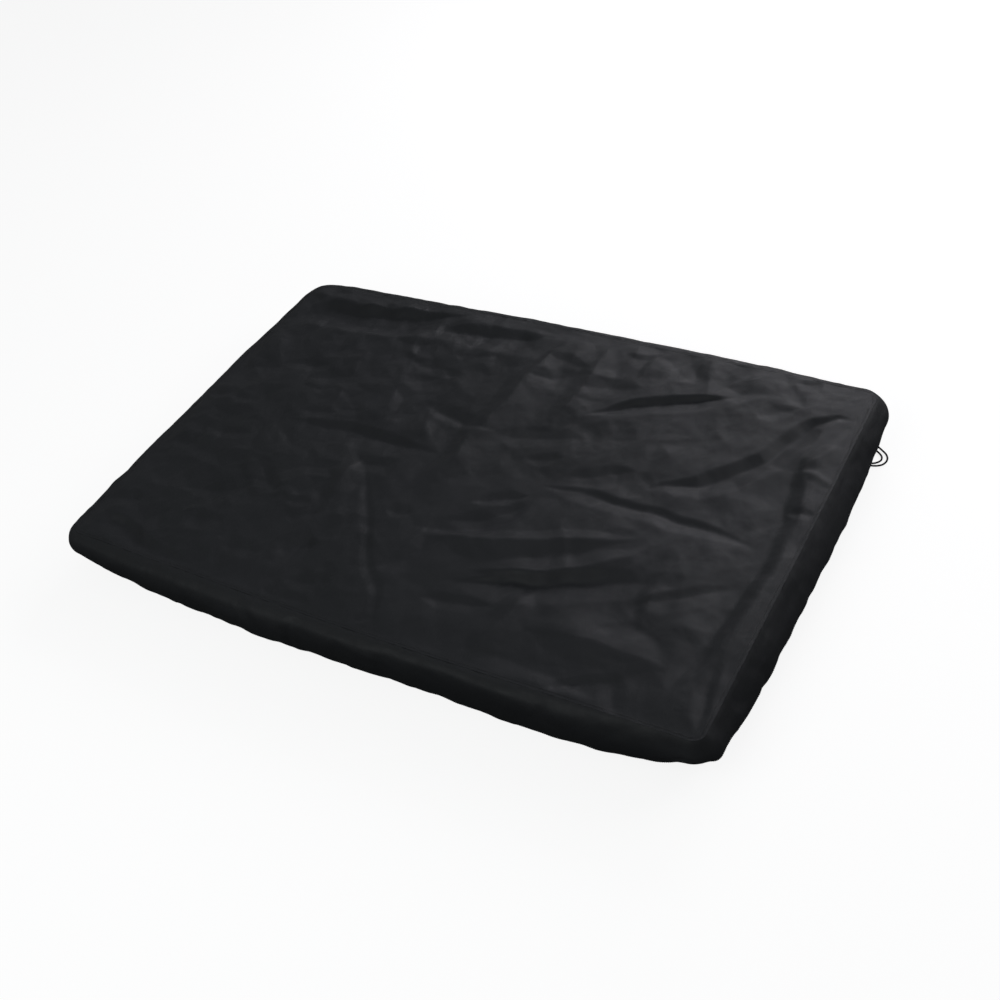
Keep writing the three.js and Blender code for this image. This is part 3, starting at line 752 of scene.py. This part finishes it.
def side_relief(index, run, way):
    """Puckers of the gathered hem, drape folds and chance creases of a side piece."""
    first_seed = 100 * (index + 1)
    from_edge = way.max(axis=0, keepdims=True) - way
    length = run.max()
    still = smooth(run / SIDE_STILL) * smooth((length - run) / SIDE_STILL)
    wander = SIDE_WANDER[0] * chance_field(run, way, SIDE_WANDER[1], first_seed)

    def puckers(name, distance):
        height, size, squeeze, share, seed, width = PUCKERS[name]
        field = chance_field(run + wander * share, way * squeeze, size, first_seed + seed)
        return height * field * (smooth(way / width) if distance is None
                                 else fall_off(distance, width))

    relief = puckers("hem", np.maximum(from_edge - HEM_TURN / 2, 0))
    relief = relief + puckers("drape", from_edge) + puckers("broad", None)
    each, seed = SIDE_CREASES
    creases = crumple_height(run, way, (0, 0), (length, way.max()), first_seed + seed,
                             int(length / each))
    relief = relief + creases * smooth((from_edge + CREASE_OUT) / HEM_FADE)
    relief = relief * smooth(way / PUCKER_START) + puckers("seam", way)
    relief = relief - HEM_LINE[0] * fall_off(from_edge - HEM_TURN, HEM_LINE[1])
    return relief * still - SEAM_LINE[0] * fall_off(way, SEAM_LINE[1])


def make_side(index, material):
    side = SIDES[index]
    points, normals, run, way = side_surface(index)
    points = points + normals * side_relief(index, run, way)[..., None]
    normals = grid_normals(points)
    row_length = way[-1].mean() / SECTION_ROWS
    turned_rows = max(int(round(HEM_TURN / row_length)), 2)
    picked = np.linspace(SECTION_ROWS, SECTION_ROWS - turned_rows, HEM_ROWS + 1)
    picked = np.round(picked[1:]).astype(int)
    edge = points[-1] - 0.5 * HEM_THICK * normals[-1]
    edge = edge + 0.5 * HEM_THICK * units(points[-1] - points[-2])
    inside = points[picked] - HEM_THICK * normals[picked]
    full = np.concatenate([points, edge[None], points[-1:] - HEM_THICK * normals[-1:], inside])
    hem_way = way[-1:] + np.linspace(1, HEM_TURN, HEM_ROWS + 2)[:, None]
    uv = np.stack([np.broadcast_to(run[:1], (full.shape[0], run.shape[1])),
                   np.concatenate([way, hem_way])], axis=-1) * MM
    rows, columns = full.shape[:2]
    faces = grid_faces(rows, columns)[:, ::-1]
    return add_mesh(side["node"] + "_cloth", full.reshape(-1, 3), faces, uv.reshape(-1, 2),
                    material)


def way_along(line):
    """Length of a line from its start to each of its points."""
    return np.concatenate([[0], np.cumsum(np.linalg.norm(np.diff(line, axis=0), axis=1))])


def read_along(places, way, values):
    """Points or directions along a line, read at places on its way."""
    return np.stack([np.interp(places, way, values[:, axis]) for axis in range(3)], axis=1)


def cord_path(route):
    """Points at even steps on a smooth line through a cord's route, in millimetres."""
    knots = np.asarray(route, float)
    before = 2 * knots[0] - knots[1]
    after = 2 * knots[-1] - knots[-2]
    p = np.concatenate([before[None], knots, after[None]])
    line = []
    for index in range(1, len(p) - 2):
        q = p[index - 1:index + 3]
        time = np.concatenate([[0], np.cumsum(np.linalg.norm(np.diff(q, axis=0), axis=1) ** 0.5)])
        for s in np.linspace(time[1], time[2], CORD_FINE, endpoint=False):
            a = [((time[k + 1] - s) * q[k] + (s - time[k]) * q[k + 1]) / (time[k + 1] - time[k])
                 for k in range(3)]
            b = [((time[k + 2] - s) * a[k] + (s - time[k]) * a[k + 1]) / (time[k + 2] - time[k])
                 for k in range(2)]
            line.append(((time[2] - s) * b[0] + (s - time[1]) * b[1]) / (time[2] - time[1]))
    line = np.array(line + [knots[-1]])
    way = way_along(line)
    return read_along(np.linspace(0, way[-1], int(way[-1] / CORD_STEP) + 1), way, line)


def make_cord(cord, material):
    """Tube of crossing strands along a cord's route."""
    path = cord_path(cord["route"])
    way = way_along(path)
    ahead = units(np.gradient(path, axis=0))
    side = units(np.cross(ahead, [0, 0, 1]))
    up = np.cross(side, ahead)
    turn = np.linspace(0, 2 * math.pi, CORD_SIDES + 1)[None, :]
    twist = 2 * math.pi * way[:, None] / BRAID_PITCH
    strands = np.maximum(np.abs(np.sin(0.5 * BRAID_STRANDS * (turn + twist))),
                         np.abs(np.sin(0.5 * BRAID_STRANDS * (turn - twist))))
    radius = CORD / 2 - BRAID_DEPTH * (1 - strands)
    points = (path[:, None] + (radius * np.cos(turn))[..., None] * side[:, None]
              + (radius * np.sin(turn))[..., None] * up[:, None])
    rows, columns = len(path), CORD_SIDES + 1
    uv = np.stack([np.broadcast_to(way[:, None], (rows, columns)),
                   np.broadcast_to(turn * CORD / 2, (rows, columns))], axis=-1) * MM
    tube = add_mesh(cord["name"] + "_braid", points.reshape(-1, 3), grid_faces(rows, columns),
                    uv.reshape(-1, 2), material)
    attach(tube, "root")
    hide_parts(cord["name"])


def make_stitches(name, line, normals, material):
    """A row of stitches along a line of points on the cloth."""
    way = way_along(line)
    count = int(way[-1] / STITCH_PITCH)
    centres = (np.arange(count) + 0.5) * way[-1] / count
    points = []
    for share, lift in STITCH_RINGS:
        places = centres + share * STITCH
        at = read_along(places, way, line)
        up = units(read_along(places, way, normals))
        aside = units(np.cross(read_along(places + STITCH_AHEAD, way, line)
                               - read_along(places - STITCH_AHEAD, way, line), up))
        for step in range(STITCH_SIDES):
            turn = 2 * math.pi * step / STITCH_SIDES
            points.append(at + aside * THREAD / 2 * math.cos(turn)
                          + up * (lift + THREAD / 2 * math.sin(turn)))
    points = np.stack(points, axis=1).reshape(-1, 3)
    faces = []
    for ring in range(len(STITCH_RINGS) - 1):
        for step in range(STITCH_SIDES):
            first = ring * STITCH_SIDES + step
            after = ring * STITCH_SIDES + (step + 1) % STITCH_SIDES
            faces.append([first, after, after + STITCH_SIDES, first + STITCH_SIDES])
    block = len(STITCH_RINGS) * STITCH_SIDES
    faces = np.array(faces)[None] + (np.arange(count) * block)[:, None, None]
    row = add_mesh(name, points, faces.reshape(-1, 4), points[:, :2] * MM, material)
    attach(row, "root")


def make_top_stitches(material):
    t = np.linspace(0, 1, TOP_STITCH_POINTS, endpoint=False)
    line = []
    for index in range(len(SIDES)):
        point, outward, _, _ = seam_line(index, t)
        line.append(point - TOP_STITCH_IN * outward)
    line = np.concatenate(line + [line[0][:1]])
    path = np.column_stack([line, top_height(line[:, 0], line[:, 1])])
    make_stitches("top_stitching", path, np.tile([0.0, 0.0, 1.0], (len(path), 1)), material)


def make_hem_stitches(index, side, material):
    mesh = side.data
    columns = SIDES[index]["cells"] + 1
    points = np.empty(len(mesh.vertices) * 3, np.float32)
    mesh.vertices.foreach_get("co", points)
    points = points.reshape(-1, columns, 3) / MM
    outer = points[:SECTION_ROWS + 1]
    normals = grid_normals(outer)
    steps = np.linalg.norm(np.diff(outer, axis=0), axis=-1)
    from_edge = np.concatenate([np.cumsum(steps[::-1], axis=0)[::-1], np.zeros((1, columns))])
    row = np.argmin(np.abs(from_edge.mean(axis=1) - (HEM_TURN - HEM_STITCH_IN)))
    make_stitches(SIDES[index]["node"] + "_hem_stitching", outer[row], normals[row], material)


def add_node(tree, kind, **values):
    """Node with values for its inputs. A name's underscores stand for spaces."""
    node = tree.nodes.new(kind)
    for label, value in values.items():
        node.inputs[label.replace("_", " ")].default_value = value
    return node


def join(source, target):
    source.id_data.links.new(source, target)


def math_node(tree, operation, *values):
    node = add_node(tree, "ShaderNodeMath")
    node.operation = operation
    for index, value in enumerate(values):
        if isinstance(value, (int, float)):
            node.inputs[index].default_value = value
        else:
            join(value, node.inputs[index])
    return node.outputs[0]


def new_group(name, label, output):
    """Node group that takes a place and one number, and gives one number."""
    group = bpy.data.node_groups.new(name, "ShaderNodeTree")
    group.interface.new_socket("Place", in_out="INPUT", socket_type="NodeSocketVector")
    group.interface.new_socket(label, in_out="INPUT", socket_type="NodeSocketFloat")
    group.interface.new_socket(output, in_out="OUTPUT", socket_type="NodeSocketFloat")
    return group, group.nodes.new("NodeGroupInput"), group.nodes.new("NodeGroupOutput")


def weave_group():
    """Plain weave: threads that pass over and under each other."""
    group, given, result = new_group("plain weave", "Threads", "Height")
    scaled = add_node(group, "ShaderNodeVectorMath")
    scaled.operation = "SCALE"
    join(given.outputs["Place"], scaled.inputs[0])
    join(given.outputs["Threads"], scaled.inputs["Scale"])
    parts = add_node(group, "ShaderNodeSeparateXYZ")
    join(scaled.outputs[0], parts.inputs[0])
    warp, weft = [math_node(group, "SINE", math_node(group, "MULTIPLY", part, math.pi))
                  for part in parts.outputs[:2]]
    over = math_node(group, "MULTIPLY_ADD", math_node(group, "MULTIPLY", warp, weft), 0.5, 0.5)
    under = math_node(group, "SUBTRACT", 1.0, over)
    warp = math_node(group, "MULTIPLY", math_node(group, "ABSOLUTE", warp), over)
    weft = math_node(group, "MULTIPLY", math_node(group, "ABSOLUTE", weft), under)
    join(math_node(group, "MAXIMUM", warp, weft), result.inputs["Height"])
    return group


def noise_in(group, given, **values):
    """Noise at a group's place, with hills of the group's size."""
    noise = add_node(group, "ShaderNodeTexNoise", **values)
    join(given.outputs["Place"], noise.inputs["Vector"])
    join(math_node(group, "DIVIDE", 1.0, given.outputs["Size"]), noise.inputs["Scale"])
    return noise.outputs[0]


def drift_group():
    """Slow uneven drift of a finish over the cloth, from 0 to 1."""
    group, given, result = new_group("finish drift", "Size", "Mask")
    clear = add_node(group, "ShaderNodeMapRange", From_Min=0.3, From_Max=0.7)
    join(noise_in(group, given, Detail=4.0), clear.inputs["Value"])
    join(clear.outputs[0], result.inputs["Mask"])
    return group


def rumple_group():
    """Faint rumples of a coated cloth, finer than its creases."""
    group, given, result = new_group("fine rumple", "Size", "Height")
    noise = noise_in(group, given, Detail=3.0, Distortion=0.6)
    ridge = math_node(group, "ABSOLUTE", math_node(group, "SUBTRACT", noise, 0.5))
    join(math_node(group, "SUBTRACT", 1.0, ridge), result.inputs["Height"])
    return group


def place_group(tree, group, place, label, value):
    node = add_node(tree, "ShaderNodeGroup")
    node.node_tree = group
    join(place, node.inputs["Place"])
    node.inputs[label].default_value = value
    return node.outputs[0]


def bump(tree, height, depth, strength, normal):
    node = add_node(tree, "ShaderNodeBump", Distance=depth, Strength=strength)
    join(height, node.inputs["Height"])
    if normal is not None:
        join(normal, node.inputs["Normal"])
    return node.outputs["Normal"]


def mixed_colour(tree, share, first, second):
    node = add_node(tree, "ShaderNodeMix")
    node.data_type = "RGBA"
    join(share, node.inputs[0])
    node.inputs[6].default_value = (*first, 1)
    node.inputs[7].default_value = (*second, 1)
    return node.outputs[2]


def ranged(tree, value, low, high):
    node = add_node(tree, "ShaderNodeMapRange", To_Min=low, To_Max=high)
    join(value, node.inputs["Value"])
    return node.outputs[0]


def empty_tree(thing):
    """Node tree of a material or of the surroundings, without nodes."""
    thing.use_nodes = True
    thing.node_tree.nodes.clear()
    return thing.node_tree


def make_finish(name, groups):
    """Material from the table of finishes, over UVs in metres."""
    dark, light, rough, drifts, gloss, bumps = FINISHES[name]
    material = bpy.data.materials.new(name)
    tree = empty_tree(material)
    output = add_node(tree, "ShaderNodeOutputMaterial")
    shader = add_node(tree, "ShaderNodeBsdfPrincipled", Specular_IOR_Level=gloss)
    join(shader.outputs[0], output.inputs[0])
    uv = add_node(tree, "ShaderNodeUVMap")
    uv.uv_map = "UVMap"
    place = uv.outputs[0]
    tint, wear = [place_group(tree, groups["drift"], place, "Size", size) for size in drifts]
    join(mixed_colour(tree, tint, dark, light), shader.inputs["Base Color"])
    join(ranged(tree, wear, *rough), shader.inputs["Roughness"])
    normal = None
    for kind, label, value, depth, strength in bumps:
        height = place_group(tree, groups[kind], place, label, value)
        normal = bump(tree, height, depth, strength, normal)
    if normal is not None:
        join(normal, shader.inputs["Normal"])
    return material


def make_camera():
    """Camera at the photograph's viewing angle, turned a little about its own line of sight."""
    sight = Vector((-math.sin(HEADING) * math.cos(DIP), math.cos(HEADING) * math.cos(DIP),
                    -math.sin(DIP)))
    level = Vector((math.cos(HEADING), math.sin(HEADING), 0))
    upright = level.cross(sight)
    right = math.cos(ROLL) * level + math.sin(ROLL) * upright
    above = -math.sin(ROLL) * level + math.cos(ROLL) * upright
    turned = Matrix((right, above, -sight)).transposed().to_4x4()
    data = bpy.data.cameras.new("camera")
    data.lens = LENS
    data.sensor_width = SENSOR
    camera = add_object("camera", data)
    camera.matrix_world = Matrix.Translation(AIM - AWAY * sight) @ turned
    bpy.context.scene.camera = camera


def make_floor():
    """Plain pale floor. It shows pale, and lights the cover only a little from below."""
    material = bpy.data.materials.new("pale floor")
    tree = empty_tree(material)
    output = add_node(tree, "ShaderNodeOutputMaterial")
    seen = add_node(tree, "ShaderNodeBsdfDiffuse", Color=FLOOR_SEEN)
    glow = add_node(tree, "ShaderNodeEmission", Strength=FLOOR_GLOW)
    shown = add_node(tree, "ShaderNodeAddShader")
    dull = add_node(tree, "ShaderNodeBsdfDiffuse", Color=FLOOR_DULL)
    path = add_node(tree, "ShaderNodeLightPath")
    chosen = add_node(tree, "ShaderNodeMixShader")
    join(seen.outputs[0], shown.inputs[0])
    join(glow.outputs[0], shown.inputs[1])
    join(path.outputs["Is Camera Ray"], chosen.inputs[0])
    join(dull.outputs[0], chosen.inputs[1])
    join(shown.outputs[0], chosen.inputs[2])
    join(chosen.outputs[0], output.inputs[0])
    bpy.ops.mesh.primitive_plane_add(size=FLOOR_SIZE, location=(0, 0, FLOOR_HEIGHT * MM))
    floor = bpy.context.object
    floor.name = "floor"
    floor.data.materials.append(material)


def make_light(name, heading, climb, away, width, height, power, colour):
    data = bpy.data.lights.new(name, "AREA")
    data.shape = "RECTANGLE"
    data.size, data.size_y = width, height
    data.energy = power
    data.color = colour
    light = add_object(name, data)
    turn, rise = math.radians(heading), math.radians(climb)
    toward = Vector((math.sin(turn) * math.cos(rise), math.cos(turn) * math.cos(rise),
                     math.sin(rise)))
    light.location = toward * away
    light.rotation_euler = toward.to_track_quat("Z", "Y").to_euler()


def make_world():
    """Pale surroundings that light the cover only a little."""
    world = bpy.data.worlds.new("pale room")
    bpy.context.scene.world = world
    tree = empty_tree(world)
    output = add_node(tree, "ShaderNodeOutputWorld")
    room = add_node(tree, "ShaderNodeBackground", Color=ROOM_COLOUR)
    path = add_node(tree, "ShaderNodeLightPath")
    level = ranged(tree, path.outputs["Is Camera Ray"], *ROOM_LEVELS)
    join(level, room.inputs["Strength"])
    join(room.outputs[0], output.inputs[0])


make_camera()
GROUPS = {"weave": weave_group(), "drift": drift_group(), "rumple": rumple_group()}
BRAID = make_finish("black braided cord", GROUPS)
for each_cord in CORDS:
    make_cord(each_cord, BRAID)

TOP_CLOTH = make_finish("top cloth", GROUPS)
# Same cloth as the top, with painted shade: its lighter colour is a little darker.
SIDE_CLOTH_PAINTED_SHADE = make_finish("side cloth with painted shade", GROUPS)
THREAD_FINISH = make_finish("black thread", GROUPS)

top = make_top_panel(TOP_CLOTH)
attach(top, "root")
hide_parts("top_panel")
for index, side in enumerate(SIDES):
    cloth = make_side(index, SIDE_CLOTH_PAINTED_SHADE)
    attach(cloth, "root")
    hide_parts(side["node"])
    _, _, _, seam_length = seam_line(index, np.array([0.0]))
    make_hem_stitches(index, cloth, THREAD_FINISH)
make_top_stitches(THREAD_FINISH)

make_floor()
for each_light in LIGHTS:
    make_light(*each_light)
make_world()
bpy.context.scene.view_settings.view_transform = "Standard"
